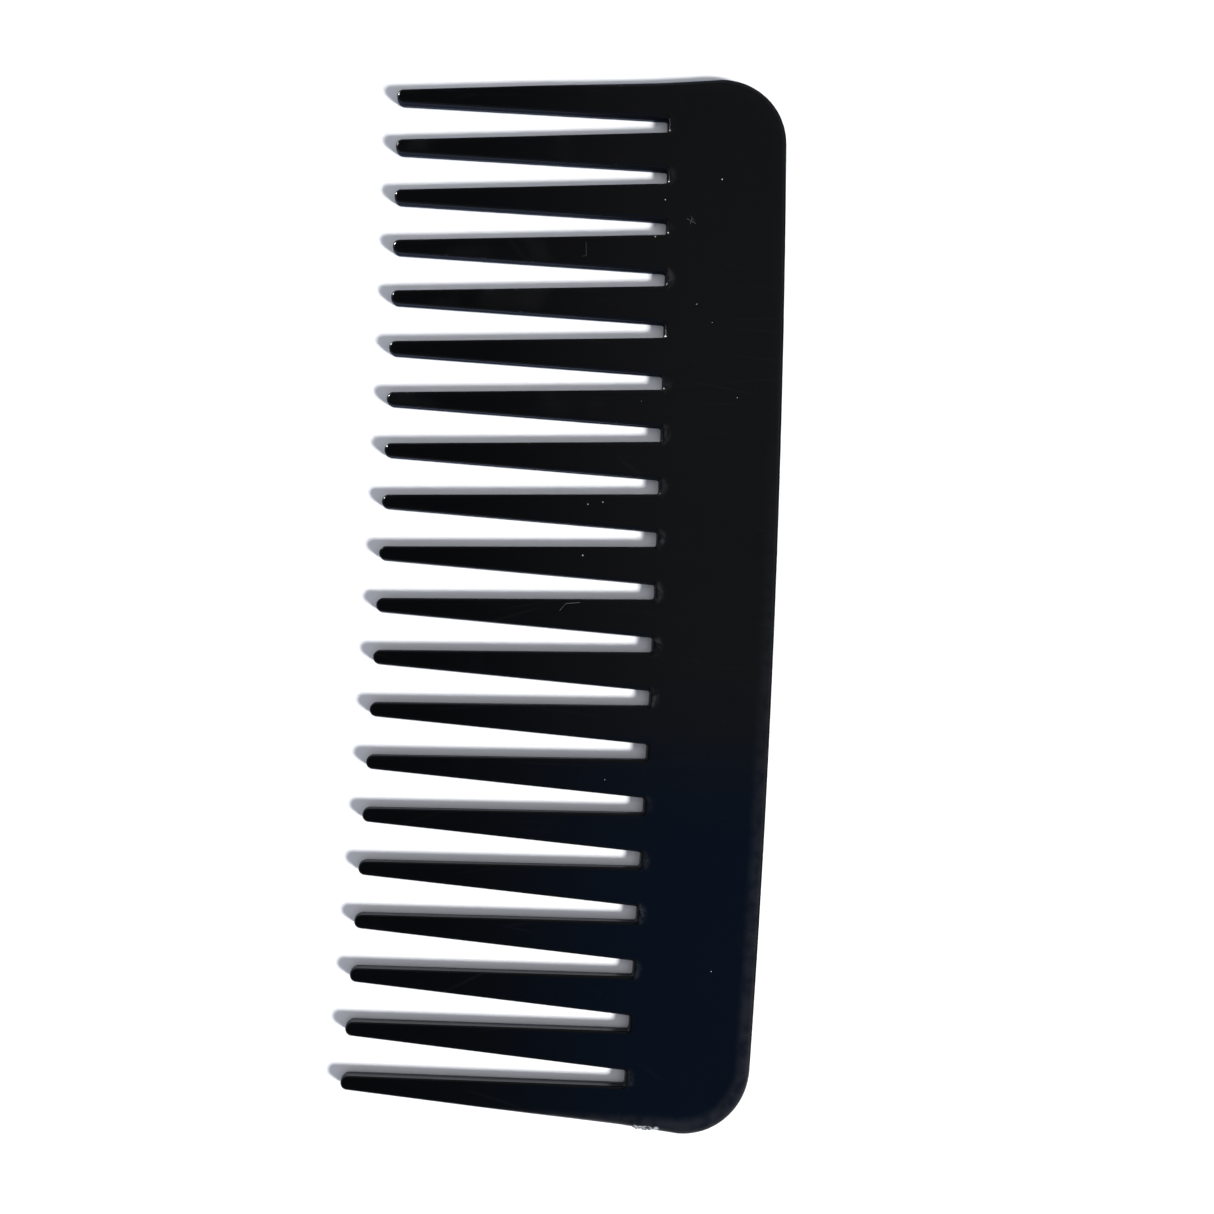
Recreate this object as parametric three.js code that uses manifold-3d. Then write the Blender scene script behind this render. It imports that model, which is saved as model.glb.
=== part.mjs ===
// A wide tooth hair comb, moulded in one piece from hard black plastic.
//
// It lies flat. X runs along the comb, Y across it with the teeth towards -Y,
// and Z is up through its thickness. Sizes are in millimetres.
//
// The comb is laid out in two plain measures before it is bowed:
//   u  the distance along the root line, from the middle of the comb
//   v  the distance from the root line, towards the tips of the teeth
// bowed() then wraps the root line onto a very large circle.

import * as THREE from 'three';
import { mergeVertices } from 'three/addons/utils/BufferGeometryUtils.js';
import Module from 'manifold-3d';

// ---------------------------------------------------------------- sizes

const TOOTH_COUNT = 20;
const TOOTH_PITCH = 8.0;
const TOOTH_LENGTH = 41.6;
const TOOTH_ROOT_WIDTH = 5.85;
const TOOTH_TIP_WIDTH = 2.25;
const TIP_ROUNDING = 0.88; // share of the tip's half width that is rounded off
const SLOT_CORNER_RADIUS = 0.3;
const SPINE_DEPTH = 18.75;
const SPINE_CORNER_RADIUS = 10.0;
const SPINE_END_FLARE = 0.6; // how far the spine's ends lean out past the end teeth
const THICKNESS = 3.0;
const BOW_RADIUS = 2250.0;
const TOOTH_EDGE_ROUNDING = 0.4;
const BACK_EDGE_ROUNDING = 1.0;
const PLASTIC_COLOUR = 0x0c0d0f;

const TIP_STEPS = 8;
const SLOT_CORNER_STEPS = 3;
const CORNER_STEPS = 10;
const BACK_STEPS = 24;
const TOOTH_EDGE_STEPS = 2;
const BACK_EDGE_STEPS = 4;
const CUT_MARGIN = 3.0; // how far a cutting shape reaches past what it cuts

// ---------------------------------------------------------------- layout

const END_TOOTH = ((TOOTH_COUNT - 1) / 2) * TOOTH_PITCH;
const ROOT_LINE_END = END_TOOTH + TOOTH_ROOT_WIDTH / 2;
const CORNER_RADIUS = Math.min(SPINE_CORNER_RADIUS, SPINE_DEPTH - BACK_EDGE_ROUNDING);

// The place on the finished comb of a point at u, v.
function bowed(u, v) {
  const turn = u / BOW_RADIUS;
  const reach = BOW_RADIUS - v;
  return new THREE.Vector2(reach * Math.sin(turn), reach * Math.cos(turn) - BOW_RADIUS);
}

function toothCentre(index) {
  return index * TOOTH_PITCH - END_TOOTH;
}

// The two corners where a tooth leaves the root line. The spine, the tooth and
// the cut between them all use these same points.
function rootCorners(index) {
  const half = TOOTH_ROOT_WIDTH / 2;
  const centre = toothCentre(index);
  return [bowed(centre - half, 0), bowed(centre + half, 0)];
}

// A tooth is straight and stands square on the line between its root corners.
// across is measured from its middle line and along from its root.
function toothPoint(index, across, along) {
  const [left, right] = rootCorners(index);
  const middle = left.clone().add(right).multiplyScalar(0.5);
  const side = right.clone().sub(left).normalize();
  return middle.add(
    new THREE.Vector2(
      side.x * across + side.y * along,
      side.y * across - side.x * along,
    ),
  );
}

// The rounded end of a tooth, from its left flank to its right flank.
function tipPoints(index) {
  const half = TOOTH_TIP_WIDTH / 2;
  const round = half * TIP_ROUNDING;
  const points = [];
  for (const side of [-1, 1]) {
    for (let step = 0; step <= TIP_STEPS / 2; step += 1) {
      const angle = (step / (TIP_STEPS / 2)) * (Math.PI / 2);
      const turn = side < 0 ? angle : Math.PI / 2 - angle;
      const across = side * (half - round + round * Math.cos(turn));
      const along = TOOTH_LENGTH - round + round * Math.sin(turn);
      points.push(toothPoint(index, across, along));
    }
  }
  return points;
}

// The square end of the slot after a tooth, with its two small corner fillets.
// It starts and ends on the root line, at the flanks of the teeth beside it.
function slotEndPoints(index) {
  const slotWidth = TOOTH_PITCH - TOOTH_ROOT_WIDTH;
  const radius = Math.min(SLOT_CORNER_RADIUS, slotWidth / 2);
  const middle = toothCentre(index) + TOOTH_PITCH / 2;
  const points = [];
  for (const side of [-1, 1]) {
    for (let step = 1; step <= SLOT_CORNER_STEPS; step += 1) {
      const angle = (step / SLOT_CORNER_STEPS) * (Math.PI / 2);
      const turn = side < 0 ? angle : Math.PI / 2 - angle + Math.PI / 2 / SLOT_CORNER_STEPS;
      const across = side * (slotWidth / 2 - radius + radius * Math.cos(turn));
      points.push(bowed(middle + across, -radius * Math.sin(turn)));
    }
  }
  return points;
}

// ---------------------------------------------------------------- solids

const wasm = await Module();
wasm.setup();

function solidOf(geometry) {
  geometry.deleteAttribute('normal');
  geometry.deleteAttribute('uv');
  const merged = mergeVertices(geometry, 1e-5);
  return new wasm.Manifold(
    new wasm.Mesh({
      numProp: 3,
      vertProperties: new Float32Array(merged.attributes.position.array),
      triVerts: new Uint32Array(merged.index.array),
    }),
  );
}

// A flat plate of the full thickness whose top and bottom edges are rounded.
function roundedPlate(outline, rounding, steps) {
  const geometry = new THREE.ExtrudeGeometry(new THREE.Shape(outline), {
    depth: THICKNESS - 2 * rounding,
    bevelEnabled: true,
    bevelThickness: rounding,
    bevelSize: rounding,
    bevelOffset: -rounding,
    bevelSegments: steps,
    curveSegments: 1,
  });
  geometry.translate(0, 0, rounding);
  return solidOf(geometry);
}

// The teeth with a blank of plastic behind them for the spine. The blank runs
// past the spine's own outline everywhere, so it leaves no mark on it.
function toothedBlank() {
  const outline = [];
  for (let index = 0; index < TOOTH_COUNT; index += 1) {
    const [left, right] = rootCorners(index);
    outline.push(left, ...tipPoints(index), right);
    if (index < TOOTH_COUNT - 1) {
      outline.push(...slotEndPoints(index));
    }
  }
  const slope = (TOOTH_ROOT_WIDTH - TOOTH_TIP_WIDTH) / 2 / TOOTH_LENGTH;
  const past = SPINE_DEPTH + CUT_MARGIN;
  const flare = (SPINE_END_FLARE * past) / (SPINE_DEPTH - CORNER_RADIUS);
  const half = TOOTH_ROOT_WIDTH / 2 + slope * past + flare;
  const last = TOOTH_COUNT - 1;
  outline.push(toothPoint(last, half, -past));
  for (let step = 1; step < BACK_STEPS; step += 1) {
    outline.push(bowed(END_TOOTH * (1 - (2 * step) / BACK_STEPS), -past - CUT_MARGIN));
  }
  outline.push(toothPoint(0, -half, -past));
  return roundedPlate(outline, TOOTH_EDGE_ROUNDING, TOOTH_EDGE_STEPS);
}

// The outline of the spine with its rolled back edge and its two big corners.
// It runs on past the tips, so it only shapes the spine and the end teeth.
function spineEnvelope() {
  const outer = ROOT_LINE_END + SPINE_END_FLARE;
  const radius = CORNER_RADIUS;
  const past = TOOTH_LENGTH + CUT_MARGIN;
  const outline = [bowed(-ROOT_LINE_END, past), bowed(ROOT_LINE_END, past), bowed(ROOT_LINE_END, 0)];
  for (let step = 0; step <= CORNER_STEPS; step += 1) {
    const angle = (step / CORNER_STEPS) * (Math.PI / 2);
    outline.push(bowed(
      outer - radius + radius * Math.cos(angle),
      radius - SPINE_DEPTH - radius * Math.sin(angle),
    ));
  }
  const straight = outer - radius;
  for (let step = 1; step < BACK_STEPS; step += 1) {
    outline.push(bowed(straight * (1 - (2 * step) / BACK_STEPS), -SPINE_DEPTH));
  }
  for (let step = CORNER_STEPS; step >= 0; step -= 1) {
    const angle = (step / CORNER_STEPS) * (Math.PI / 2);
    outline.push(bowed(
      radius - outer - radius * Math.cos(angle),
      radius - SPINE_DEPTH - radius * Math.sin(angle),
    ));
  }
  outline.push(bowed(-ROOT_LINE_END, 0));
  return roundedPlate(outline, BACK_EDGE_ROUNDING, BACK_EDGE_STEPS);
}

// A block that takes in one tooth and stops exactly at its root.
function toothCutter(index) {
  const [left, right] = rootCorners(index);
  const gap = TOOTH_PITCH - TOOTH_ROOT_WIDTH;
  const half = TOOTH_ROOT_WIDTH / 2 + gap / 2;
  const outline = [
    left,
    toothPoint(index, -half, gap),
    toothPoint(index, -half, TOOTH_LENGTH + CUT_MARGIN),
    toothPoint(index, half, TOOTH_LENGTH + CUT_MARGIN),
    toothPoint(index, half, gap),
    right,
  ];
  const geometry = new THREE.ExtrudeGeometry(new THREE.Shape(outline), {
    depth: THICKNESS + 2 * CUT_MARGIN,
    bevelEnabled: false,
  });
  geometry.translate(0, 0, -CUT_MARGIN);
  return solidOf(geometry);
}

// ---------------------------------------------------------------- model

const comb = new THREE.Group();

function addPiece(name, solid) {
  const mesh = solid.getMesh();
  const geometry = new THREE.BufferGeometry();
  geometry.setAttribute('position', new THREE.BufferAttribute(mesh.vertProperties, mesh.numProp));
  geometry.setIndex(new THREE.BufferAttribute(mesh.triVerts, 1));
  const material = new THREE.MeshStandardMaterial({
    color: PLASTIC_COLOUR,
    roughness: 0.22,
    metalness: 0.0,
  });
  const piece = new THREE.Mesh(geometry, material);
  piece.name = name;
  comb.add(piece);
}

const moulding = toothedBlank().intersect(spineEnvelope());
let spine = moulding;
for (let index = 0; index < TOOTH_COUNT; index += 1) {
  const cutter = toothCutter(index);
  addPiece(`tooth_${String(index + 1).padStart(2, '0')}`, moulding.intersect(cutter));
  spine = spine.subtract(cutter);
}
addPiece('spine', spine);

// The origin is under the middle of the comb, on the surface it lies on.
const size = new THREE.Box3().setFromObject(comb);
const middle = size.getCenter(new THREE.Vector3());
comb.position.set(-middle.x, -middle.y, -size.min.z);

export default comb;
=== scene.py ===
# %% [markdown]
# # A wide tooth comb in polished black plastic
#
# The real comb is one injection moulding: a deep flat spine with twenty tapered
# teeth along one side. It lies flat on a pale table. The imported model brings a
# plain solid for the spine and for each tooth. Here every one of them is
# replaced by a finer piece of the same size, with rolled edges, the fine line
# where the two halves of the mould met, and the wear of a comb that is used.

import math

import bmesh
import bpy
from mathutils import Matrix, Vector
from mathutils.geometry import delaunay_2d_cdt


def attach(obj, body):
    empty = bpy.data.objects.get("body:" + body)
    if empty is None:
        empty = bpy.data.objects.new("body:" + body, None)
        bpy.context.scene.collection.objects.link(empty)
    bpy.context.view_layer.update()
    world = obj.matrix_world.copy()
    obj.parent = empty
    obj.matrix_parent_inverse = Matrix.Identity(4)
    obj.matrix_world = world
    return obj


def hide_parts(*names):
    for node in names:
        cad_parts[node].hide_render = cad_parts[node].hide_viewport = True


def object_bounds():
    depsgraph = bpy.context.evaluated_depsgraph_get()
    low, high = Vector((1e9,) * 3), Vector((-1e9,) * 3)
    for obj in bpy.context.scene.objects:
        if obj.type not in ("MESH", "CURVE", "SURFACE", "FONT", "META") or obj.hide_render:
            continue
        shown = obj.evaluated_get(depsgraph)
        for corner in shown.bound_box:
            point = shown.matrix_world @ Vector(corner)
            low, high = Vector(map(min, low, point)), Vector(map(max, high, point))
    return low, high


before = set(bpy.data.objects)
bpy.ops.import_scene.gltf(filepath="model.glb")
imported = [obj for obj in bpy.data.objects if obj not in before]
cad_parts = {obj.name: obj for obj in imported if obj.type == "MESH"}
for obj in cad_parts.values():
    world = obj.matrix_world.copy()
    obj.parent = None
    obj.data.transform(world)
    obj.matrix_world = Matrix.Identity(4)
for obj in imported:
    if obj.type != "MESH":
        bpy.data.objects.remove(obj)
cad_low, cad_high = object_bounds()
print("packed comb, mm:", [round(1000 * side, 2) for side in cad_high - cad_low])

# %% [markdown]
# ## The sizes that everything follows
#
# A comb is a pattern, so a few numbers rule all of it: how far apart the teeth
# stand, how long and how wide they are, and how much the whole comb is bowed.
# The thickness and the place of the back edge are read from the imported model,
# and the rest are the same design sizes, so each fine piece lands on its solid.
# Only the tips are rounded a little more than on the solids.

# %% Design sizes, in metres
MM = 0.001
TOOTH_COUNT = 20
TOOTH_PITCH = 8.0 * MM
TOOTH_LENGTH = 41.6 * MM
TOOTH_ROOT_WIDTH = 5.85 * MM
TOOTH_TIP_WIDTH = 2.25 * MM
TIP_RADIUS = 1.10 * MM
SLOT_CORNER_RADIUS = 0.3 * MM
SPINE_DEPTH = 18.75 * MM
SPINE_CORNER_RADIUS = 10.0 * MM
SPINE_END_FLARE = 0.6 * MM
BOW_RADIUS = 2250.0 * MM
EDGE_ROUNDING = 0.4 * MM
BACK_ROUNDING = 1.0 * MM
PARTING_RIDGE = 0.03 * MM
WALL_DRAFT = 0.05 * MM

THICKNESS = cad_high.z - cad_low.z
ROOT_LINE_Y = cad_high.y - SPINE_DEPTH
END_TOOTH = (TOOTH_COUNT - 1) / 2 * TOOTH_PITCH
ROOT_HALF = TOOTH_ROOT_WIDTH / 2
print("thickness, mm:", round(THICKNESS / MM, 3), "root line at y, mm:", round(ROOT_LINE_Y / MM, 3))

# %% [markdown]
# ## The camera
#
# The comb is seen from almost straight above, from about a hand's length and a
# quarter away, as someone holding a phone over a table would see it. A normal
# lens that close gives the slight widening towards the near end. The small
# shift slides the picture on the sensor without turning the camera, so the comb
# sits a little off the middle and its lines stay true.

# %% Place the camera
CAMERA_PLACE = Vector((0.00987, ROOT_LINE_Y - 0.01123, THICKNESS + 0.24111))
CAMERA_TURN_DEG = (4.048, -0.004, 92.774)
camera_data = bpy.data.cameras.new("table_camera")
camera_data.sensor_width = 36.0
camera_data.lens = 47.45
camera_data.shift_x = 0.0264
camera_data.shift_y = -0.0547
camera_data.clip_start = 0.01
camera = bpy.data.objects.new("table_camera", camera_data)
camera.location = CAMERA_PLACE
camera.rotation_euler = [math.radians(turn) for turn in CAMERA_TURN_DEG]
bpy.context.scene.collection.objects.link(camera)
bpy.context.scene.camera = camera
print("camera height, mm:", round(CAMERA_PLACE.z / MM, 1))

# %% [markdown]
# ## Where a point of the comb lies
#
# Long thin mouldings come out of the mould slightly bowed. The comb is first
# thought of as straight, with u along the root line and v towards the tips, and
# then wrapped onto a very large circle. Each tooth stays straight and stands
# square on its own stretch of that circle.

# %% Helpers for the layout
def bowed(u, v):
    turn = u / BOW_RADIUS
    reach = BOW_RADIUS - v
    return Vector((reach * math.sin(turn), reach * math.cos(turn) - BOW_RADIUS + ROOT_LINE_Y))


def tooth_centre(number):
    return number * TOOTH_PITCH - END_TOOTH


def root_point(number, across, behind=0.0):
    turn = tooth_centre(number) / BOW_RADIUS
    middle = bowed(tooth_centre(number), -behind)
    return middle + across * Vector((math.cos(turn), -math.sin(turn)))


print("first tooth's root, mm:", [round(c / MM, 2) for c in root_point(0, 0.0)])

# %% [markdown]
# ## The section of an edge
#
# Every edge of the comb has the same make-up. From the flat face it rolls over
# into the wall, the wall leans out a hair so the part lets go of the mould, and
# at half thickness there is a fine raised line where the mould halves met. The
# section is a short list of steps, each with an inset from the outline and a
# height, and both the teeth and the spine are built from it, so they meet
# without a seam.

# %% The edge section
FILLET_STEPS = 7
RIDGE_HALF_HEIGHT = 0.05 * MM
FLAT_LEDGE = 0.10 * MM


def edge_section(rounding):
    half = THICKNESS / 2
    upper = [(0.0, 0.0), (PARTING_RIDGE, RIDGE_HALF_HEIGHT)]
    for step in range(FILLET_STEPS + 1):
        angle = step / FILLET_STEPS * math.pi / 2
        inset = PARTING_RIDGE + WALL_DRAFT + rounding * (1 - math.cos(angle))
        upper.append((inset, half - rounding + rounding * math.sin(angle)))
    upper.append((upper[-1][0] + FLAT_LEDGE, half))
    lower = [(inset, -height) for inset, height in reversed(upper[1:])]
    return [(inset, half + height) for inset, height in lower + upper]


SECTION_ROWS = len(edge_section(EDGE_ROUNDING))
print("rows in the edge section:", SECTION_ROWS)

# %% [markdown]
# ## The plastic
#
# The comb is hard black plastic straight from a polished mould, then handled.
# It is almost black, and its shine does the work: broad faces that are nearly
# mirrors, softened by a very slight waviness from cooling. On top of that come
# hair-fine scratches, a few deeper ones, smudges where fingers touched, specks
# of dust, rubbed edges, and on the back edge scuffs with a painted sheen that
# stands in for a lamp's highlight. All of it is worked out from Object
# coordinates, so the pattern runs unbroken from the spine into the teeth.
#
# Each kind of mark is a small function that returns one value, 0 where the
# plastic is clean and 1 in the middle of a mark. The material then adds them up.

# %% Helpers for wiring a material
def add_node(tree, kind, **settings):
    node = tree.nodes.new(kind)
    for name, value in settings.items():
        setattr(node, name, value)
    return node


def shape_value(tree, value, low, high, out_low=0.0, out_high=1.0):
    node = add_node(tree, "ShaderNodeMapRange", interpolation_type="SMOOTHSTEP")
    for name, setting in (("From Min", low), ("From Max", high), ("To Min", out_low), ("To Max", out_high)):
        node.inputs[name].default_value = setting
    tree.links.new(value, node.inputs["Value"])
    return node.outputs["Result"]


def wire_inputs(tree, node, values):
    for socket, value in zip(node.inputs, values):
        if isinstance(value, bpy.types.NodeSocket):
            tree.links.new(value, socket)
        else:
            socket.default_value = value


def wire_named(tree, mix, **values):
    """Set or link the colour sockets of a Mix node by name."""
    sockets = {"Factor": mix.inputs["Factor"]}
    for socket in mix.inputs:
        if socket.type == "RGBA":
            sockets[socket.name] = socket
    for name, value in values.items():
        if isinstance(value, bpy.types.NodeSocket):
            tree.links.new(value, sockets[name])
        else:
            sockets[name].default_value = value


def calculate(tree, operation, *values):
    node = add_node(tree, "ShaderNodeMath", operation=operation)
    wire_inputs(tree, node, values)
    return node.outputs["Value"]


def calculate_vector(tree, operation, *values):
    node = add_node(tree, "ShaderNodeVectorMath", operation=operation)
    wire_inputs(tree, node, values)
    return node


def most_of(tree, values):
    """The strongest of several marks at each point."""
    strongest = values[0]
    for value in values[1:]:
        strongest = calculate(tree, "MAXIMUM", strongest, value)
    return strongest


def product_of(tree, first, *others):
    """Several values multiplied together."""
    for other in others:
        first = calculate(tree, "MULTIPLY", first, other)
    return first


def distance_of(tree, first, second):
    """How far apart two points are, from the two square steps between them."""
    squares = (product_of(tree, first, first), product_of(tree, second, second))
    return calculate(tree, "SQRT", calculate(tree, "ADD", *squares))


def noise(tree, coordinates, scale, detail, distortion=0.0):
    node = add_node(tree, "ShaderNodeTexNoise")
    node.inputs["Scale"].default_value = scale
    node.inputs["Detail"].default_value = detail
    node.inputs["Distortion"].default_value = distortion
    tree.links.new(coordinates, node.inputs["Vector"])
    return node.outputs["Fac"]


# %% Scratch and dust patterns
def scratch_lines(tree, coordinates, turn_deg, scale, stretch, wander):
    """Thin broken lines that run one way, as grit leaves on a polished face."""
    placed = add_node(tree, "ShaderNodeMapping")
    placed.inputs["Rotation"].default_value = (0.0, 0.0, math.radians(turn_deg))
    placed.inputs["Scale"].default_value = (scale, scale * stretch, scale)
    tree.links.new(coordinates, placed.inputs["Vector"])
    cells = add_node(tree, "ShaderNodeTexVoronoi", feature="DISTANCE_TO_EDGE", voronoi_dimensions="2D")
    cells.inputs["Scale"].default_value = 1.0
    cells.inputs["Randomness"].default_value = 1.0
    tree.links.new(placed.outputs["Vector"], cells.inputs["Vector"])
    line = shape_value(tree, cells.outputs["Distance"], 0.0, 0.012, 1.0, 0.0)
    kept = shape_value(tree, noise(tree, coordinates, wander, 2.0), 0.56, 0.70)
    return product_of(tree, line, kept)


def dust_specks(tree, coordinates, per_metre, size, share):
    """Small round specks, kept only in a share of the cells."""
    cells = add_node(tree, "ShaderNodeTexVoronoi", feature="F1", voronoi_dimensions="3D")
    cells.inputs["Scale"].default_value = per_metre
    cells.inputs["Randomness"].default_value = 1.0
    tree.links.new(coordinates, cells.inputs["Vector"])
    parts = add_node(tree, "ShaderNodeSeparateColor")
    tree.links.new(cells.outputs["Color"], parts.inputs["Color"])
    spot = shape_value(tree, cells.outputs["Distance"], size * 0.5, size, 1.0, 0.0)
    chosen = shape_value(tree, parts.outputs["Red"], 1.0 - share, 1.0 - share + 0.01)
    return product_of(tree, spot, chosen)


# %% [markdown]
# ## Marks that sit in one place
#
# A used comb has a few marks that the eye keeps finding: a hooked scratch on a
# middle tooth, a faint one near the end, a scuff at the back of a slot. Each is
# a short straight cut, so the value is worked out from the distance to a line
# between two points. A speck is the same cut with no length. The gate, where
# the plastic entered the mould, is taken to be at one end of the comb: a short
# torn line with whitened crumbs, also drawn as a cut.

# %% Deep scratches, single specks and the gate, in millimetres along and across
# A scratch has its start, its end, its half width and its strength.
DEEP_SCRATCHES = (
    ((3.47, -1.76), (2.38, -0.90), 0.040, 0.75),
    ((2.38, -0.90), (2.12, 1.20), 0.045, 1.0),
    ((-53.00, -0.50), (-50.95, -0.36), 0.040, 0.40),
    ((-50.95, -0.36), (-50.80, -0.90), 0.040, 0.30),
    ((-57.40, 14.80), (-56.75, 16.10), 0.070, 0.45),
    ((-57.60, 15.60), (-56.60, 15.30), 0.060, 0.45),
    ((-57.90, 15.25), (-57.10, 15.95), 0.050, 0.30),
)
# A speck has its place and its radius.
SINGLE_SPECKS = (
    ((-63.80, 19.91), 0.13), ((-5.00, 1.31), 0.13), ((-12.78, 1.70), 0.10), ((-13.20, 3.96), 0.10),
    ((64.49, -2.17), 0.13), ((64.46, -1.58), 0.10), ((55.81, 23.29), 0.09), ((-54.40, 10.05), 0.12),
    ((-60.20, 11.35), 0.10), ((-30.10, 23.60), 0.08), ((28.40, 6.20), 0.08), ((-41.50, 19.30), 0.07),
)
GATE_START = (78.95, 12.60)
GATE_END = (79.05, 16.20)
GATE_HALF_BREADTH = 0.45


def straight_cut(tree, flat, start, end, half_width, depth):
    """A cut from start to end, both in millimetres, that fades at its sides."""
    first = Vector((*start, 0.0)) * MM
    run = (Vector((*end, 0.0)) * MM) - first
    away = calculate_vector(tree, "SUBTRACT", flat, first).outputs["Vector"]
    if run.length > 0:
        share = calculate_vector(tree, "DOT_PRODUCT", away, run / run.length_squared).outputs["Value"]
        share = calculate(tree, "MINIMUM", calculate(tree, "MAXIMUM", share, 0.0), 1.0)
        reach = calculate_vector(tree, "SCALE", run)
        tree.links.new(share, reach.inputs["Scale"])
        away = calculate_vector(tree, "SUBTRACT", away, reach.outputs["Vector"]).outputs["Vector"]
    distance = calculate_vector(tree, "LENGTH", away).outputs["Value"]
    return shape_value(tree, distance, half_width * 0.4 * MM, half_width * MM, depth, 0.0)


def placed_marks(tree, coordinates, height):
    flat = calculate_vector(tree, "MULTIPLY", coordinates, (1.0, 1.0, 0.0)).outputs["Vector"]
    cuts = [straight_cut(tree, flat, *scratch) for scratch in DEEP_SCRATCHES]
    specks = [straight_cut(tree, flat, place, place, size, 1.0) for place, size in SINGLE_SPECKS]
    on_top = shape_value(tree, height, THICKNESS - 0.2 * MM, THICKNESS - 0.1 * MM)
    gate = straight_cut(tree, flat, GATE_START, GATE_END, GATE_HALF_BREADTH, 1.0)
    torn = shape_value(tree, noise(tree, coordinates, 1500.0, 3.0), 0.48, 0.56)
    return (product_of(tree, most_of(tree, cuts), on_top),
            product_of(tree, most_of(tree, specks), on_top),
            product_of(tree, gate, torn))


# %% [markdown]
# ## Pale crescents behind the slots
#
# A faint crescent, a little paler and rougher than the face, is drawn behind
# the square end of many slots. The slots repeat at the tooth pitch, so the
# crescent is drawn once for a slot and repeated by taking the place along the
# comb as a remainder of the pitch. A slow noise makes some strong and some
# missing.

# %% Crescents behind the slots
CRESCENT_NEAR = 0.5 * MM
CRESCENT_PEAK = 1.1 * MM
CRESCENT_FAR = 2.1 * MM


def behind_root_line(tree, along, across):
    """How far a point lies behind the slot ends, allowing for the bow."""
    drop = product_of(tree, along, along, 0.5 / BOW_RADIUS)
    root_line = calculate(tree, "SUBTRACT", ROOT_LINE_Y, drop)
    return calculate(tree, "SUBTRACT", across, root_line)


def slot_end_crescents(tree, coordinates, along, depth):
    from_slot = calculate(tree, "ADD", along, END_TOOTH + TOOTH_COUNT * TOOTH_PITCH)
    from_slot = calculate(tree, "MODULO", from_slot, TOOTH_PITCH)
    from_slot = calculate(tree, "SUBTRACT", from_slot, TOOTH_PITCH / 2)
    reach = distance_of(tree, from_slot, depth)
    inner = shape_value(tree, reach, CRESCENT_NEAR, CRESCENT_PEAK)
    outer = shape_value(tree, reach, CRESCENT_PEAK, CRESCENT_FAR, 1.0, 0.0)
    behind = shape_value(tree, depth, 0.4 * MM, 0.9 * MM)
    some = shape_value(tree, noise(tree, coordinates, 70.0, 1.0), 0.40, 0.60)
    wisps = shape_value(tree, noise(tree, coordinates, 900.0, 4.0, 0.8), 0.34, 0.66)
    return product_of(tree, inner, outer, wisps, behind, some)


# %% [markdown]
# ## Rubbed edges, tooled walls and a painted sheen on the back edge
#
# Hair and pockets rub the rolled edges first, so their polish is a little
# broken there. The walls between the teeth keep fine lines that run along the
# comb's faces, left by the tool that cut the mould. Stretching a noise flat,
# so that it changes quickly with height and slowly along the wall, gives them.
# The palm rubs the rolled back edge, so it carries patchy scuffs. Its colour
# there is also lightened as a painted sheen, in place of the lamp's highlight on
# the rolled edge and in a band just inside it. Both fade along the comb towards
# the first tooth.

# %% Edge rub, back scuffs with painted sheen, and tool lines
HALF_THICK = THICKNESS / 2
# Both reach out from the line between the middles of the two big corners.
SCUFF_AND_SHEEN_START = 7.2 * MM
SCUFF_AND_SHEEN_FULL = 8.9 * MM
CORNER_MIDDLE_ALONG = END_TOOTH + ROOT_HALF + SPINE_END_FLARE - SPINE_CORNER_RADIUS
CORNER_MIDDLE_DEPTH = SPINE_DEPTH - SPINE_CORNER_RADIUS


def from_half_height(tree, height):
    """How far a point lies above or below half thickness."""
    return calculate(tree, "ABSOLUTE", calculate(tree, "SUBTRACT", height, HALF_THICK))


def off_the_face(tree, from_middle, roll, flat):
    """1 on the rolled edge and 0 on the flat face."""
    return shape_value(tree, from_middle, HALF_THICK - roll, HALF_THICK - flat, 1.0, 0.0)


def past(tree, value, limit):
    """How far a value is past a limit, and 0 before it."""
    return calculate(tree, "MAXIMUM", calculate(tree, "SUBTRACT", value, limit), 0.0)


def edge_rub(tree, coordinates, height):
    from_middle = from_half_height(tree, height)
    above_wall = shape_value(tree, from_middle, HALF_THICK - 0.5 * MM, HALF_THICK - 0.2 * MM)
    below_face = off_the_face(tree, from_middle, 0.04 * MM, 0.005 * MM)
    worn = shape_value(tree, noise(tree, coordinates, 420.0, 4.0), 0.45, 0.7)
    return product_of(tree, above_wall, below_face, worn)


def back_scuffs_and_painted_sheen(tree, coordinates, height, along, depth):
    """Fine scuffs on the rolled back edge and just inside it, where the palm holds it, and a painted sheen
    there that stands in for the lamp's highlight.
    """
    below_face = off_the_face(tree, from_half_height(tree, height), 0.06 * MM, 0.002 * MM)
    at_back = shape_value(tree, depth, 2.0 * MM, 7.0 * MM)
    past_along = past(tree, calculate(tree, "ABSOLUTE", along), CORNER_MIDDLE_ALONG)
    past_depth = past(tree, depth, CORNER_MIDDLE_DEPTH)
    inside_rim = shape_value(tree, distance_of(tree, past_along, past_depth), SCUFF_AND_SHEEN_START, SCUFF_AND_SHEEN_FULL)
    towards_end = shape_value(tree, along, -0.04, 0.09, 0.08, 1.0)
    patchy = shape_value(tree, noise(tree, coordinates, 620.0, 5.0), 0.30, 0.65, 0.35, 1.0)
    rim = product_of(tree, below_face, at_back)
    return product_of(tree, most_of(tree, [rim, inside_rim]), towards_end, patchy)


def tool_lines(tree, coordinates):
    flattened = calculate_vector(tree, "MULTIPLY", coordinates, (60.0, 60.0, 9000.0)).outputs["Vector"]
    return noise(tree, flattened, 1.0, 2.0)


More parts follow.
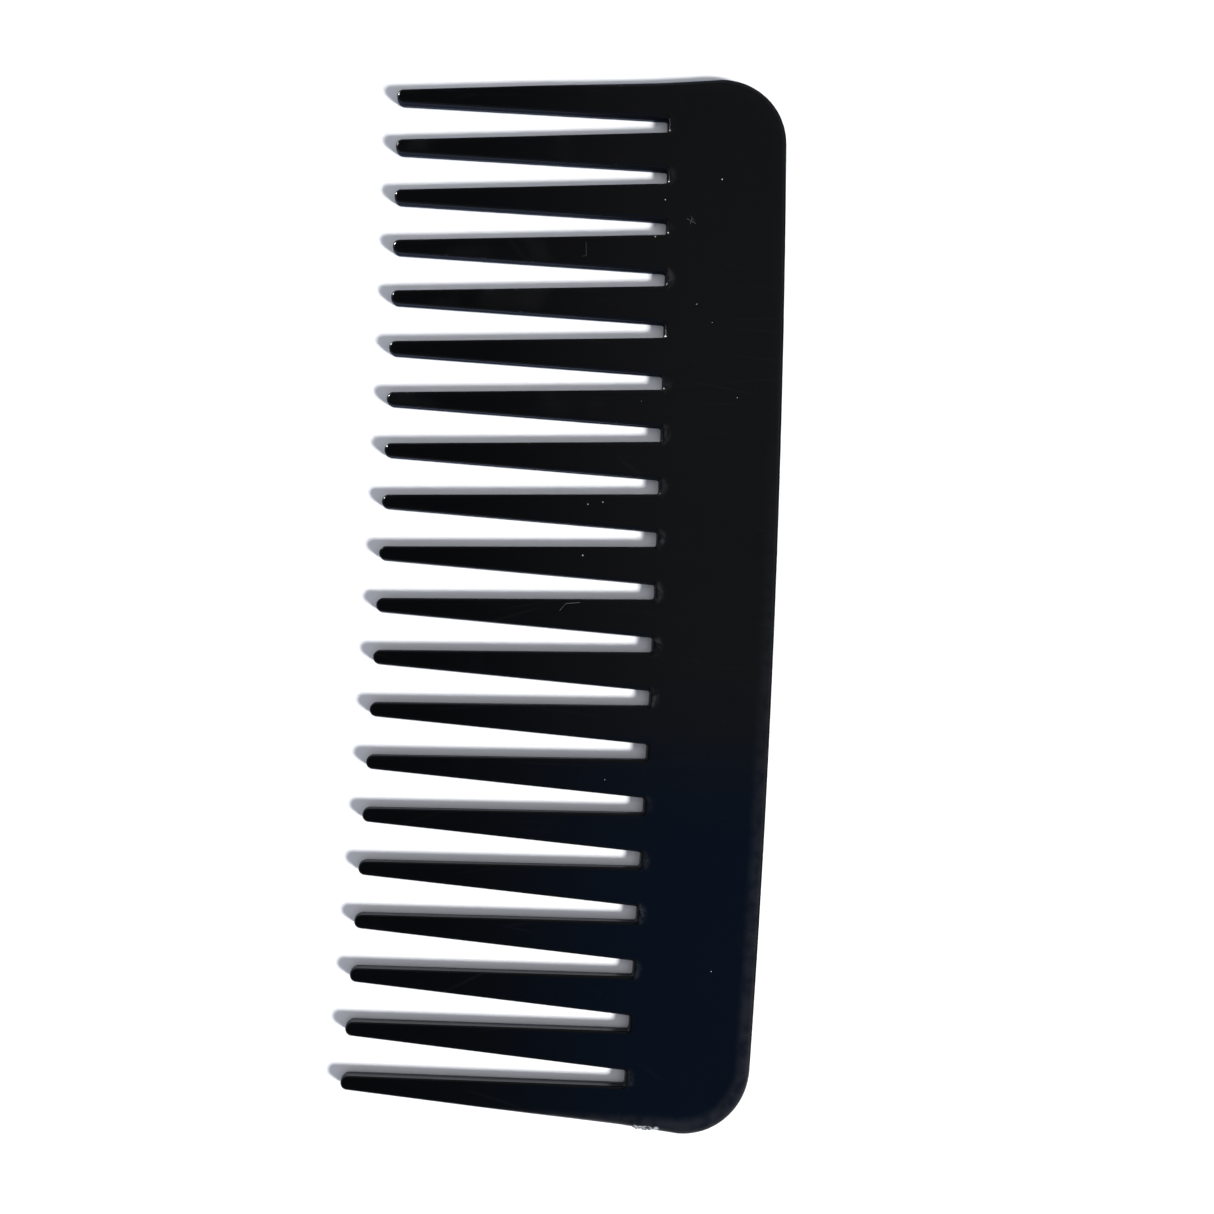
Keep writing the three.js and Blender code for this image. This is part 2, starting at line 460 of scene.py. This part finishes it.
# %% Colour of the plastic
def plastic_colour(tree, coordinates, marks):
    colour = add_node(tree, "ShaderNodeMix", data_type="RGBA")
    wire_named(tree, colour, A=(0.0012, 0.0013, 0.0015, 1.0), B=(0.0018, 0.0019, 0.0022, 1.0),
               Factor=noise(tree, coordinates, 38.0, 3.0))
    for name, strength, tint in (
        ("crescents", 0.065, (0.30, 0.30, 0.32, 1.0)),
        # The back-edge tint is partly scuffing and partly a painted sheen in place of the lamp's highlight.
        ("back scuffs and painted sheen", 0.026, (0.34, 0.34, 0.38, 1.0)),
        ("scratches", 0.24, (0.35, 0.36, 0.38, 1.0)),
        ("gate", 0.8, (0.40, 0.41, 0.43, 1.0)),
        ("dust", 1.0, (0.42, 0.43, 0.45, 1.0)),
    ):
        over = add_node(tree, "ShaderNodeMix", data_type="RGBA")
        wire_named(tree, over, A=colour.outputs["Result"], B=tint,
                   Factor=product_of(tree, marks[name], strength))
        colour = over
    return colour.outputs["Result"]


# %% All the marks together
HAIRLINES = ((14.0, 130.0, 0.16, 46.0), (-52.0, 170.0, 0.12, 63.0), (78.0, 210.0, 0.10, 85.0))
HAIRLINE_STRENGTH = 0.03


def plastic_marks(tree, coordinates):
    place = add_node(tree, "ShaderNodeSeparateXYZ")
    tree.links.new(coordinates, place.inputs["Vector"])
    height = place.outputs["Z"]
    depth = behind_root_line(tree, place.outputs["X"], place.outputs["Y"])
    hairlines = most_of(tree, [scratch_lines(tree, coordinates, *run) for run in HAIRLINES])
    cuts, specks, gate = placed_marks(tree, coordinates, height)
    return {
        "smudges": shape_value(tree, noise(tree, coordinates, 95.0, 5.0, 0.6), 0.52, 0.72),
        "scratches": most_of(tree, [product_of(tree, hairlines, HAIRLINE_STRENGTH), cuts]),
        "dust": most_of(tree, [
            specks,
            dust_specks(tree, coordinates, 210.0, 0.030, 0.04),
            dust_specks(tree, coordinates, 520.0, 0.050, 0.02),
        ]),
        "gate": gate,
        "crescents": slot_end_crescents(tree, coordinates, place.outputs["X"], depth),
        "edge rub": edge_rub(tree, coordinates, height),
        "back scuffs and painted sheen": back_scuffs_and_painted_sheen(tree, coordinates, height, place.outputs["X"], depth),
    }


def add_up(tree, start, marks, strengths):
    total = start
    for name, strength in strengths:
        total = calculate(tree, "ADD", total, product_of(tree, marks[name], strength))
    return total


# %% Build the black plastic
def make_black_plastic():
    material = bpy.data.materials.new("polished_black_plastic")
    material.use_nodes = True
    tree = material.node_tree
    tree.nodes.clear()
    link = tree.links.new
    output = add_node(tree, "ShaderNodeOutputMaterial")
    plastic = add_node(tree, "ShaderNodeBsdfPrincipled")
    plastic.inputs["IOR"].default_value = 1.5
    plastic.inputs["Specular IOR Level"].default_value = 0.5
    link(plastic.outputs["BSDF"], output.inputs["Surface"])
    coordinates = add_node(tree, "ShaderNodeTexCoord").outputs["Object"]
    marks = plastic_marks(tree, coordinates)
    link(plastic_colour(tree, coordinates, marks), plastic.inputs["Base Color"])

    rough = add_up(tree, 0.12, marks, (
        ("smudges", 0.08), ("scratches", 0.25), ("dust", 0.5), ("edge rub", 0.14),
        ("crescents", 0.10), ("gate", 0.5), ("back scuffs and painted sheen", 0.12)))
    link(rough, plastic.inputs["Roughness"])

    marks["cooling waves"] = noise(tree, coordinates, 55.0, 1.0)
    marks["polish grain"] = noise(tree, coordinates, 2600.0, 2.0)
    marks["tool lines"] = tool_lines(tree, coordinates)
    relief = add_up(tree, 0.0, marks, (
        ("cooling waves", 1.0), ("polish grain", 0.012), ("tool lines", 0.05), ("scratches", -0.10),
        ("dust", 0.12), ("edge rub", -0.03), ("gate", 0.5), ("back scuffs and painted sheen", -0.06)))
    bump = add_node(tree, "ShaderNodeBump")
    bump.inputs["Strength"].default_value = 0.6
    bump.inputs["Distance"].default_value = 0.03 * MM
    link(relief, bump.inputs["Height"])
    link(bump.outputs["Normal"], plastic.inputs["Normal"])
    return material


black_plastic = make_black_plastic()
print("plastic nodes:", len(black_plastic.node_tree.nodes))

# %% [markdown]
# ## One tooth as a rule
#
# All twenty teeth are the same tooth, set at different places on the bow, so a
# Geometry Nodes tree makes them from a handful of named sizes. It starts from a
# flat grid. One way across the grid follows the outline of the tooth, down one
# flank, round the tip and back up the other. The other way follows the edge
# section from the underside to the top. Each grid point is then moved to the
# place that those two steps give. The same could be done by stretching a
# cylinder, but a rule keeps the roll of the edge the same all round the tip.

# %% Helpers for the tooth tree
FLANK_STEPS = 18
TIP_STEPS = 9


class NodeMaths:
    """Writes sums as node chains, so the tree below reads like a formula."""

    def __init__(self, tree):
        self.tree = tree

    def run(self, operation, *values):
        node = self.tree.nodes.new("ShaderNodeMath")
        node.operation = operation
        for socket, value in zip(node.inputs, values):
            if isinstance(value, (int, float)):
                socket.default_value = value
            else:
                self.tree.links.new(value, socket)
        return node.outputs[0]

    def add(self, a, b):
        return self.run("ADD", a, b)

    def take(self, a, b):
        return self.run("SUBTRACT", a, b)

    def times(self, a, b):
        return self.run("MULTIPLY", a, b)

    def over(self, a, b):
        return self.run("DIVIDE", a, b)

    def choose(self, test, if_one, if_zero):
        """One value where test is 1 and the other where it is 0."""
        return self.add(self.times(test, if_one), self.times(self.take(1.0, test), if_zero))

    def between(self, share, start, end):
        return self.add(start, self.times(share, self.take(end, start)))

    def clamp(self, value, low, high):
        return self.run("MINIMUM", self.run("MAXIMUM", value, low), high)


TOOTH_INPUTS = (
    ("Tooth Number", "NodeSocketFloat"),
    ("Tooth Count", "NodeSocketFloat"),
    ("Tooth Pitch", "NodeSocketFloat"),
    ("Tooth Length", "NodeSocketFloat"),
    ("Root Width", "NodeSocketFloat"),
    ("Tip Width", "NodeSocketFloat"),
    ("Tip Radius", "NodeSocketFloat"),
    ("Thickness", "NodeSocketFloat"),
    ("Edge Rounding", "NodeSocketFloat"),
    ("Left Root Rounding", "NodeSocketFloat"),
    ("Right Root Rounding", "NodeSocketFloat"),
    ("Bow Radius", "NodeSocketFloat"),
    ("Root Line", "NodeSocketFloat"),
    ("Plastic", "NodeSocketMaterial"),
)

# %% Build the tooth tree
def make_tooth_tree():
    tree = bpy.data.node_groups.new("comb_tooth", "GeometryNodeTree")
    for name, kind in TOOTH_INPUTS:
        tree.interface.new_socket(name, in_out="INPUT", socket_type=kind)
    tree.interface.new_socket("Tooth", in_out="OUTPUT", socket_type="NodeSocketGeometry")
    size = tree.nodes.new("NodeGroupInput").outputs
    maths = NodeMaths(tree)
    link = tree.links.new

    columns = 2 * (TIP_STEPS + FLANK_STEPS + 1) + 1
    rows = SECTION_ROWS + 2
    grid = tree.nodes.new("GeometryNodeMeshGrid")
    grid.inputs["Size X"].default_value = columns - 1
    grid.inputs["Size Y"].default_value = rows - 1
    grid.inputs["Vertices X"].default_value = columns
    grid.inputs["Vertices Y"].default_value = rows
    split = tree.nodes.new("ShaderNodeSeparateXYZ")
    link(tree.nodes.new("GeometryNodeInputPosition").outputs[0], split.inputs[0])
    column = maths.run("ROUND", split.outputs["X"])
    row = maths.run("ROUND", split.outputs["Y"])
    side = maths.run("SIGN", column)
    step = maths.run("ABSOLUTE", column)
    level = maths.run("ABSOLUTE", row)
    up = maths.run("SIGN", row)

    # The outline: a quarter round at the tip, then the straight flank.
    on_tip = maths.run("LESS_THAN", step, TIP_STEPS - 0.5)
    on_middle = maths.run("GREATER_THAN", step, TIP_STEPS + FLANK_STEPS + 0.5)
    tip_turn = maths.times(
        maths.clamp(maths.over(maths.take(TIP_STEPS, step), TIP_STEPS), 0.0, 1.0), math.pi / 2)
    tip_cos = maths.run("COSINE", tip_turn)
    tip_sin = maths.run("SINE", tip_turn)
    flank = maths.clamp(maths.over(maths.take(step, TIP_STEPS), FLANK_STEPS), 0.0, 1.0)
    tip_half = maths.times(size["Tip Width"], 0.5)
    half = maths.between(flank, tip_half, maths.times(size["Root Width"], 0.5))
    straight = maths.take(size["Tooth Length"], size["Tip Radius"])
    along_flank = maths.times(maths.take(1.0, flank), straight)

    # The section: how far in and how high. The roll at the root may be larger.
    is_left = maths.run("LESS_THAN", side, -0.5)
    root_roll = maths.choose(is_left, size["Left Root Rounding"], size["Right Root Rounding"])
    fade = maths.clamp(maths.over(maths.take(flank, 0.45), 0.55), 0.0, 1.0)
    fade = maths.times(maths.times(fade, fade), maths.take(3.0, maths.times(2.0, fade)))
    roll = maths.between(fade, size["Edge Rounding"], root_roll)
    roll = maths.choose(on_middle, size["Edge Rounding"], roll)
    roll_turn = maths.times(
        maths.clamp(maths.over(maths.take(level, 2.0), FILLET_STEPS), 0.0, 1.0), math.pi / 2)
    half_thick = maths.times(size["Thickness"], 0.5)
    inset_roll = maths.times(roll, maths.take(1.0, maths.run("COSINE", roll_turn)))
    high_roll = maths.add(maths.take(half_thick, roll), maths.times(roll, maths.run("SINE", roll_turn)))
    on_ledge = maths.run("GREATER_THAN", level, FILLET_STEPS + 2.5)
    inset_far = maths.add(
        maths.add(inset_roll, PARTING_RIDGE + WALL_DRAFT), maths.times(on_ledge, FLAT_LEDGE))
    past_ridge = maths.run("GREATER_THAN", level, 1.5)
    past_crest = maths.run("GREATER_THAN", level, 0.5)
    inset = maths.choose(past_ridge, inset_far, maths.times(past_crest, PARTING_RIDGE))
    height = maths.choose(past_ridge, high_roll, maths.times(past_crest, RIDGE_HALF_HEIGHT))
    on_spine_of_face = maths.run("GREATER_THAN", level, FILLET_STEPS + 3.5)

    # Across and along, for the tip and for the flank.
    tip_reach = maths.take(size["Tip Radius"], inset)
    tip_across = maths.add(maths.take(tip_half, size["Tip Radius"]), maths.times(tip_reach, tip_cos))
    tip_along = maths.add(straight, maths.times(tip_reach, tip_sin))
    across = maths.choose(on_tip, tip_across, maths.take(half, inset))
    keep = maths.times(maths.take(1.0, on_middle), maths.take(1.0, on_spine_of_face))
    across = maths.times(maths.times(across, side), keep)
    tip_on_face = maths.choose(on_spine_of_face, straight, tip_along)
    on_root = maths.run("GREATER_THAN", flank, 0.999)
    off_root = maths.times(maths.times(on_root, on_ledge), maths.times(keep, FLAT_LEDGE))
    along = maths.choose(on_tip, tip_on_face, maths.add(along_flank, off_root))

    place = tree.nodes.new("ShaderNodeCombineXYZ")
    link(across, place.inputs["X"])
    link(maths.times(along, -1.0), place.inputs["Y"])
    link(maths.add(half_thick, maths.times(height, up)), place.inputs["Z"])
    moved = tree.nodes.new("GeometryNodeSetPosition")
    link(grid.outputs["Mesh"], moved.inputs["Geometry"])
    link(place.outputs[0], moved.inputs["Position"])
    closed = tree.nodes.new("GeometryNodeMergeByDistance")
    closed.inputs["Distance"].default_value = 0.0005 * MM
    link(moved.outputs[0], closed.inputs["Geometry"])

    # Set the finished tooth square on its stretch of the bow.
    from_middle = maths.take(size["Tooth Number"], maths.times(maths.take(size["Tooth Count"], 1.0), 0.5))
    turn = maths.over(maths.times(from_middle, size["Tooth Pitch"]), size["Bow Radius"])
    spot = tree.nodes.new("ShaderNodeCombineXYZ")
    link(maths.times(size["Bow Radius"], maths.run("SINE", turn)), spot.inputs["X"])
    dip = maths.times(size["Bow Radius"], maths.take(maths.run("COSINE", turn), 1.0))
    link(maths.add(size["Root Line"], dip), spot.inputs["Y"])
    tilt = tree.nodes.new("ShaderNodeCombineXYZ")
    link(maths.times(turn, -1.0), tilt.inputs["Z"])
    set_down = tree.nodes.new("GeometryNodeTransform")
    link(closed.outputs[0], set_down.inputs["Geometry"])
    link(spot.outputs[0], set_down.inputs["Translation"])
    link(tilt.outputs[0], set_down.inputs["Rotation"])

    real = tree.nodes.new("GeometryNodeRealizeInstances")
    link(set_down.outputs[0], real.inputs["Geometry"])
    coated = tree.nodes.new("GeometryNodeSetMaterial")
    link(real.outputs[0], coated.inputs["Geometry"])
    link(size["Plastic"], coated.inputs["Material"])
    end = tree.nodes.new("NodeGroupOutput")
    link(coated.outputs[0], end.inputs[0])
    return tree


tooth_tree = make_tooth_tree()
print("tooth tree nodes:", len(tooth_tree.nodes))

# %% [markdown]
# ## Making a mesh ready to use
#
# A rolled edge has to look round and a face flat. Smooth shading does the
# first, and marking every edge that turns sharply keeps the second.

# %% Finish and check a piece's mesh
CREASE_DEG = 40.0


def finish_mesh(mesh):
    shell = bmesh.new()
    shell.from_mesh(mesh)
    bmesh.ops.remove_doubles(shell, verts=shell.verts, dist=0.0002 * MM)
    bmesh.ops.dissolve_degenerate(shell, edges=shell.edges, dist=0.0002 * MM)
    if shell.calc_volume(signed=True) < 0:
        bmesh.ops.reverse_faces(shell, faces=shell.faces)
    open_edges = sum(1 for edge in shell.edges if len(edge.link_faces) != 2)
    volume = shell.calc_volume(signed=True)
    shell.to_mesh(mesh)
    shell.free()
    for face in mesh.polygons:
        face.use_smooth = True
    mesh.set_sharp_from_angle(angle=math.radians(CREASE_DEG))
    return volume * 1e9, open_edges


# %% Make the twenty teeth
def make_tooth(number):
    name = f"tooth_{number + 1:02d}"
    holder = bpy.data.objects.new(f"{name}_maker", bpy.data.meshes.new(f"{name}_maker"))
    bpy.context.scene.collection.objects.link(holder)
    rule = holder.modifiers.new("tooth", "NODES")
    rule.node_group = tooth_tree
    left = BACK_ROUNDING if number == 0 else EDGE_ROUNDING
    right = BACK_ROUNDING if number == TOOTH_COUNT - 1 else EDGE_ROUNDING
    values = (
        float(number), float(TOOTH_COUNT), TOOTH_PITCH, TOOTH_LENGTH, TOOTH_ROOT_WIDTH, TOOTH_TIP_WIDTH,
        TIP_RADIUS, THICKNESS, EDGE_ROUNDING, left, right, BOW_RADIUS, ROOT_LINE_Y, black_plastic,
    )
    for (label, _), value in zip(TOOTH_INPUTS, values):
        rule[tooth_tree.interface.items_tree[label].identifier] = value
    graph = bpy.context.evaluated_depsgraph_get()
    mesh = bpy.data.meshes.new_from_object(holder.evaluated_get(graph))
    holder.modifiers.clear()
    bpy.data.objects.remove(holder)
    mesh.name = f"{name}_fine"
    piece = bpy.data.objects.new(f"{name}_fine", mesh)
    bpy.context.scene.collection.objects.link(piece)
    return piece


teeth = []
for number in range(TOOTH_COUNT):
    tooth = make_tooth(number)
    volume, open_edges = finish_mesh(tooth.data)
    teeth.append(tooth)
    if number in (0, 9, 19):
        print(tooth.name, "mm3:", round(volume, 2), "open edges:", open_edges,
              "faces:", len(tooth.data.polygons))

# %% [markdown]
# ## The spine
#
# The spine is the broad back of the comb: a flat bar with two big rounded
# corners, a rolled back edge that sits well in the hand, and along its front
# the twenty roots of the teeth with the square ends of the slots between them.
# Its outline is one closed path, and the same edge section is run along it. At
# each corner of the path the inset is worked out exactly, so the small fillets
# in the slots stay round. On one end wall the outline swells a little at half
# thickness: that is the ragged stub that a snapped gate leaves.

# %% The outline of the spine
SLOT_ARC_STEPS = 5
CORNER_ARC_STEPS = 20
BACK_STEPS = 60
END_STEPS = 60
GATE_DEPTH = 3.4 * MM
GATE_HALF_LENGTH = 1.5 * MM
GATE_HALF_HEIGHT = 0.55 * MM
GATE_STANDS_OUT = 0.42 * MM
GATE_RIPPLES = (0.11 * MM, 0.27 * MM)
GATE_STEEPNESS = 3.0  # how quickly the stub rises at its sides


def slot_outline(number, inset):
    """The end of the slot after a tooth, with its two little corner fillets."""
    half_slot = (TOOTH_PITCH - TOOTH_ROOT_WIDTH) / 2
    middle = tooth_centre(number) + TOOTH_PITCH / 2
    points = []
    for side in (-1, 1):
        steps = range(1, SLOT_ARC_STEPS + 1) if side < 0 else range(SLOT_ARC_STEPS, 0, -1)
        for step in steps:
            angle = step / SLOT_ARC_STEPS * math.pi / 2
            reach = SLOT_CORNER_RADIUS + inset
            across = side * (half_slot - SLOT_CORNER_RADIUS + reach * math.cos(angle))
            points.append(bowed(middle + across, -reach * math.sin(angle)))
    return points


def gate_stub(depth, height):
    """How far the torn stub of the gate stands out from the end wall."""
    along = max(0.0, 1.0 - ((depth - GATE_DEPTH) / GATE_HALF_LENGTH) ** 2)
    upright = max(0.0, 1.0 - ((height - THICKNESS / 2) / GATE_HALF_HEIGHT) ** 2)
    ragged = 0.7 + 0.3 * math.sin(depth / GATE_RIPPLES[0]) * math.cos(depth / GATE_RIPPLES[1])
    rise = min(1.0, GATE_STEEPNESS * along) * min(1.0, GATE_STEEPNESS * upright)
    return GATE_STANDS_OUT * rise * ragged


def end_outline(side, inset, height):
    """One end of the spine, from the root line to where the back edge starts."""
    outer = END_TOOTH + ROOT_HALF
    radius = SPINE_CORNER_RADIUS
    turn_v = radius - SPINE_DEPTH
    points = []
    for step in range(1, END_STEPS):
        share = step / END_STEPS
        stub = gate_stub(-turn_v * share, height) if side > 0 else 0.0
        points.append(bowed(side * (outer + SPINE_END_FLARE * share - inset + stub), turn_v * share))
    for step in range(CORNER_ARC_STEPS + 1):
        angle = step / CORNER_ARC_STEPS * math.pi / 2
        reach = radius - inset
        across = outer + SPINE_END_FLARE - radius + reach * math.cos(angle)
        points.append(bowed(side * across, turn_v - reach * math.sin(angle)))
    return points


def back_outline(inset):
    straight = END_TOOTH + ROOT_HALF + SPINE_END_FLARE - SPINE_CORNER_RADIUS
    points = []
    for step in range(1, BACK_STEPS):
        points.append(bowed(straight * (1 - 2 * step / BACK_STEPS), inset - SPINE_DEPTH))
    return points


def spine_ring(front_inset, back_inset, behind, height):
    points = []
    for number in range(TOOTH_COUNT):
        left = back_inset if number == 0 else front_inset
        right = back_inset if number == TOOTH_COUNT - 1 else front_inset
        points.append(root_point(number, left - ROOT_HALF, behind))
        points.append(root_point(number, ROOT_HALF - right, behind))
        if number < TOOTH_COUNT - 1:
            points.extend(slot_outline(number, front_inset))
    points.extend(end_outline(1, back_inset, height))
    points.extend(back_outline(back_inset))
    points.extend(reversed(end_outline(-1, back_inset, height)))
    return points


# %% Build the spine
INSIDE_ONLY = 1  # which triangles the fill keeps
SAME_POINT = 1e-7
FIRST_BACK = 2 + (TOOTH_COUNT - 1) * (2 + 2 * SLOT_ARC_STEPS)


def make_spine():
    front, back = edge_section(EDGE_ROUNDING), edge_section(BACK_ROUNDING)
    shell = bmesh.new()
    rings = []
    for row, ((front_inset, front_height), (back_inset, back_height)) in enumerate(zip(front, back)):
        behind = FLAT_LEDGE if row in (0, SECTION_ROWS - 1) else 0.0
        points = spine_ring(front_inset, back_inset, behind, back_height)
        ring = []
        for place, point in enumerate(points):
            on_back = place == 0 or place >= FIRST_BACK - 1
            ring.append(shell.verts.new((*point, back_height if on_back else front_height)))
        rings.append(ring)
    for lower, upper in zip(rings, rings[1:]):
        for place in range(len(lower)):
            after = (place + 1) % len(lower)
            shell.faces.new((lower[place], lower[after], upper[after], upper[place]))
    for ring, winding in ((rings[-1], 1), (rings[0], -1)):
        flat = [vertex.co.xy for vertex in ring]
        triangles = delaunay_2d_cdt(flat, [], [list(range(len(flat)))], INSIDE_ONLY, SAME_POINT)[2]
        for triangle in triangles:
            shell.faces.new([ring[corner] for corner in triangle[::winding]])
    mesh = bpy.data.meshes.new("spine_fine")
    shell.to_mesh(mesh)
    shell.free()
    mesh.materials.append(black_plastic)
    piece = bpy.data.objects.new("spine_fine", mesh)
    bpy.context.scene.collection.objects.link(piece)
    return piece


spine = make_spine()
volume, open_edges = finish_mesh(spine.data)
print("spine mm3:", round(volume, 1), "open edges:", open_edges, "faces:", len(spine.data.polygons))

# %% [markdown]
# ## Tying the fine pieces to the imported model
#
# Nothing on this comb moves, so every piece rides on the one body, root. Each
# fine piece stands for the plain solid of the same name.

# %% Ride and replace
for piece, node in [(spine, "spine")] + [(tooth, tooth.name[:8]) for tooth in teeth]:
    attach(piece, "root")
    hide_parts(node)
print("pieces tied:", 1 + len(teeth))

# %% [markdown]
# ## The table
#
# A plain pale table top lies under the comb, a single large matte sheet. In a
# studio the sheet near a small black part is often flagged off, so that the
# polished walls stay black and don't fill with the white of the table. The
# same is done here by Light Path: the sheet is pale to the eye, and dimmer in
# a reflection and in the light it bounces, more so on the side of the first
# tooth and behind the back edge.

# %% Build the table top
TABLE_HALF = 1.2


def make_table_finish():
    material = bpy.data.materials.new("pale_table")
    material.use_nodes = True
    tree = material.node_tree
    tree.nodes.clear()
    output = add_node(tree, "ShaderNodeOutputMaterial")
    coordinates = add_node(tree, "ShaderNodeTexCoord").outputs["Object"]
    seen_tint = add_node(tree, "ShaderNodeMix", data_type="RGBA")
    wire_named(tree, seen_tint, A=(0.86, 0.86, 0.865, 1.0), B=(0.90, 0.90, 0.905, 1.0),
               Factor=noise(tree, coordinates, 6.0, 2.0))
    seen = add_node(tree, "ShaderNodeBsdfDiffuse")
    tree.links.new(seen_tint.outputs["Result"], seen.inputs["Color"])
    place = add_node(tree, "ShaderNodeSeparateXYZ")
    tree.links.new(coordinates, place.inputs["Vector"])
    flag_tint = add_node(tree, "ShaderNodeMix", data_type="RGBA")
    towards_end = shape_value(tree, place.outputs["X"], -0.03, 0.06)
    tooth_side = shape_value(tree, place.outputs["Y"], 0.014, 0.024, 1.0, 0.0)
    wire_named(tree, flag_tint, A=(0.11, 0.13, 0.19, 1.0), B=(0.42, 0.43, 0.46, 1.0), Factor=towards_end)
    back_tint = add_node(tree, "ShaderNodeMix", data_type="RGBA")
    past_last_tooth = shape_value(tree, place.outputs["X"], 0.064, 0.078, 0.0, 0.5)
    wire_named(tree, back_tint, A=(0.015, 0.016, 0.020, 1.0), B=flag_tint.outputs["Result"],
               Factor=most_of(tree, [tooth_side, past_last_tooth]))
    mirrored = add_node(tree, "ShaderNodeBsdfDiffuse")
    tree.links.new(back_tint.outputs["Result"], mirrored.inputs["Color"])
    either = add_node(tree, "ShaderNodeMixShader")
    tree.links.new(add_node(tree, "ShaderNodeLightPath").outputs["Is Camera Ray"], either.inputs[0])
    tree.links.new(mirrored.outputs[0], either.inputs[1])
    tree.links.new(seen.outputs[0], either.inputs[2])
    tree.links.new(either.outputs[0], output.inputs["Surface"])
    return material


def make_table():
    mesh = bpy.data.meshes.new("table_top")
    corners = [(-TABLE_HALF, -TABLE_HALF, 0), (TABLE_HALF, -TABLE_HALF, 0),
               (TABLE_HALF, TABLE_HALF, 0), (-TABLE_HALF, TABLE_HALF, 0)]
    mesh.from_pydata(corners, [], [(0, 1, 2, 3)])
    mesh.materials.append(make_table_finish())
    table = bpy.data.objects.new("table_top", mesh)
    bpy.context.scene.collection.objects.link(table)
    return table


table = make_table()
print("table side, m:", 2 * TABLE_HALF)

# %% [markdown]
# ## The light
#
# One soft lamp stands off to the back right of the comb, high enough that each
# tooth throws a short soft shadow towards its tip side. A big soft box straight
# overhead lifts those shadows to a pale blue grey. The polished face would
# mirror the box and turn grey, and the rolled back edge would draw the lamp as
# a hard white line, so both are hidden from reflections. A small narrow spot
# does the opposite: it only shows in reflections, and is there to put a spark
# on the tips of the first few teeth.

# %% Lamps
def add_lamp(name, place, side, power, colour=(1.0, 1.0, 1.0)):
    data = bpy.data.lights.new(name, "AREA")
    data.shape = "DISK"
    data.size = side
    data.energy = power
    data.color = colour
    lamp = bpy.data.objects.new(name, data)
    lamp.location = place
    lamp.rotation_euler = (-Vector(place)).to_track_quat("-Z", "Y").to_euler()
    bpy.context.scene.collection.objects.link(lamp)
    return lamp


key_lamp = add_lamp("key_lamp", (0.42, 0.72, 0.85), 0.24, 20.5)
key_lamp.visible_glossy = False
soft_box = add_lamp("soft_box", (-0.05, 0.0, 1.1), 1.4, 5.2, (0.91, 0.93, 1.0))
soft_box.visible_glossy = False

# %% The spark on the first tips
SPARK_PLACE = Vector((-0.20, -0.22, 0.20))
SPARK_AIM = Vector((-0.060, -0.030, 0.003))
SPARK_POWER = 60.0
SPARK_RADIUS = 0.038
SPARK_CONE_DEG = 7.0
SPARK_BLEND = 0.5


def add_spark():
    data = bpy.data.lights.new("spark_lamp", "SPOT")
    data.energy = SPARK_POWER
    data.shadow_soft_size = SPARK_RADIUS
    data.spot_size = math.radians(SPARK_CONE_DEG)
    data.spot_blend = SPARK_BLEND
    lamp = bpy.data.objects.new("spark_lamp", data)
    lamp.location = SPARK_PLACE
    lamp.rotation_euler = (SPARK_AIM - SPARK_PLACE).to_track_quat("-Z", "Y").to_euler()
    lamp.visible_diffuse = False
    bpy.context.scene.collection.objects.link(lamp)


add_spark()

# %% [markdown]
# ## The room
#
# A polished black face shows whatever is above it, so the room is dim: a bright
# ceiling would turn the comb grey. The ceiling is a deep blue beyond the middle
# of the comb, which gives the face its change from soft black to blue black.
# Towards the tips it falls off to almost nothing. Lower down the room is
# lighter, and seen from a low angle the flat face picks that up as a sheen.

# %% Build the room
def make_room():
    world = bpy.data.worlds.new("dim_room")
    world.use_nodes = True
    tree = world.node_tree
    tree.nodes.clear()
    output = add_node(tree, "ShaderNodeOutputWorld")
    glow = add_node(tree, "ShaderNodeBackground")
    tree.links.new(glow.outputs[0], output.inputs["Surface"])
    direction = add_node(tree, "ShaderNodeTexCoord").outputs["Generated"]
    parts = add_node(tree, "ShaderNodeSeparateXYZ")
    tree.links.new(direction, parts.inputs[0])
    near = shape_value(tree, parts.outputs["X"], 0.040, 0.075)
    right = shape_value(tree, parts.outputs["Y"], -0.065, -0.01)
    ceiling = add_node(tree, "ShaderNodeMix", data_type="RGBA")
    wire_named(tree, ceiling, A=(0.120, 0.123, 0.126, 1.0), B=(0.022, 0.086, 0.232, 1.0),
               Factor=product_of(tree, near, right))
    falling = add_node(tree, "ShaderNodeMix", data_type="RGBA")
    wire_named(tree, falling, A=(0.006, 0.008, 0.011, 1.0), B=ceiling.outputs["Result"],
               Factor=shape_value(tree, parts.outputs["Y"], -0.08, 0.06))
    walls = add_node(tree, "ShaderNodeMix", data_type="RGBA")
    wire_named(tree, walls, A=falling.outputs["Result"], B=(0.27, 0.29, 0.32, 1.0),
               Factor=shape_value(tree, parts.outputs["Z"], 0.10, 0.88, 1.0, 0.0))
    tree.links.new(walls.outputs["Result"], glow.inputs["Color"])
    bpy.context.scene.world = world


make_room()
scene = bpy.context.scene
scene.view_settings.view_transform = "Standard"
scene.view_settings.look = "None"
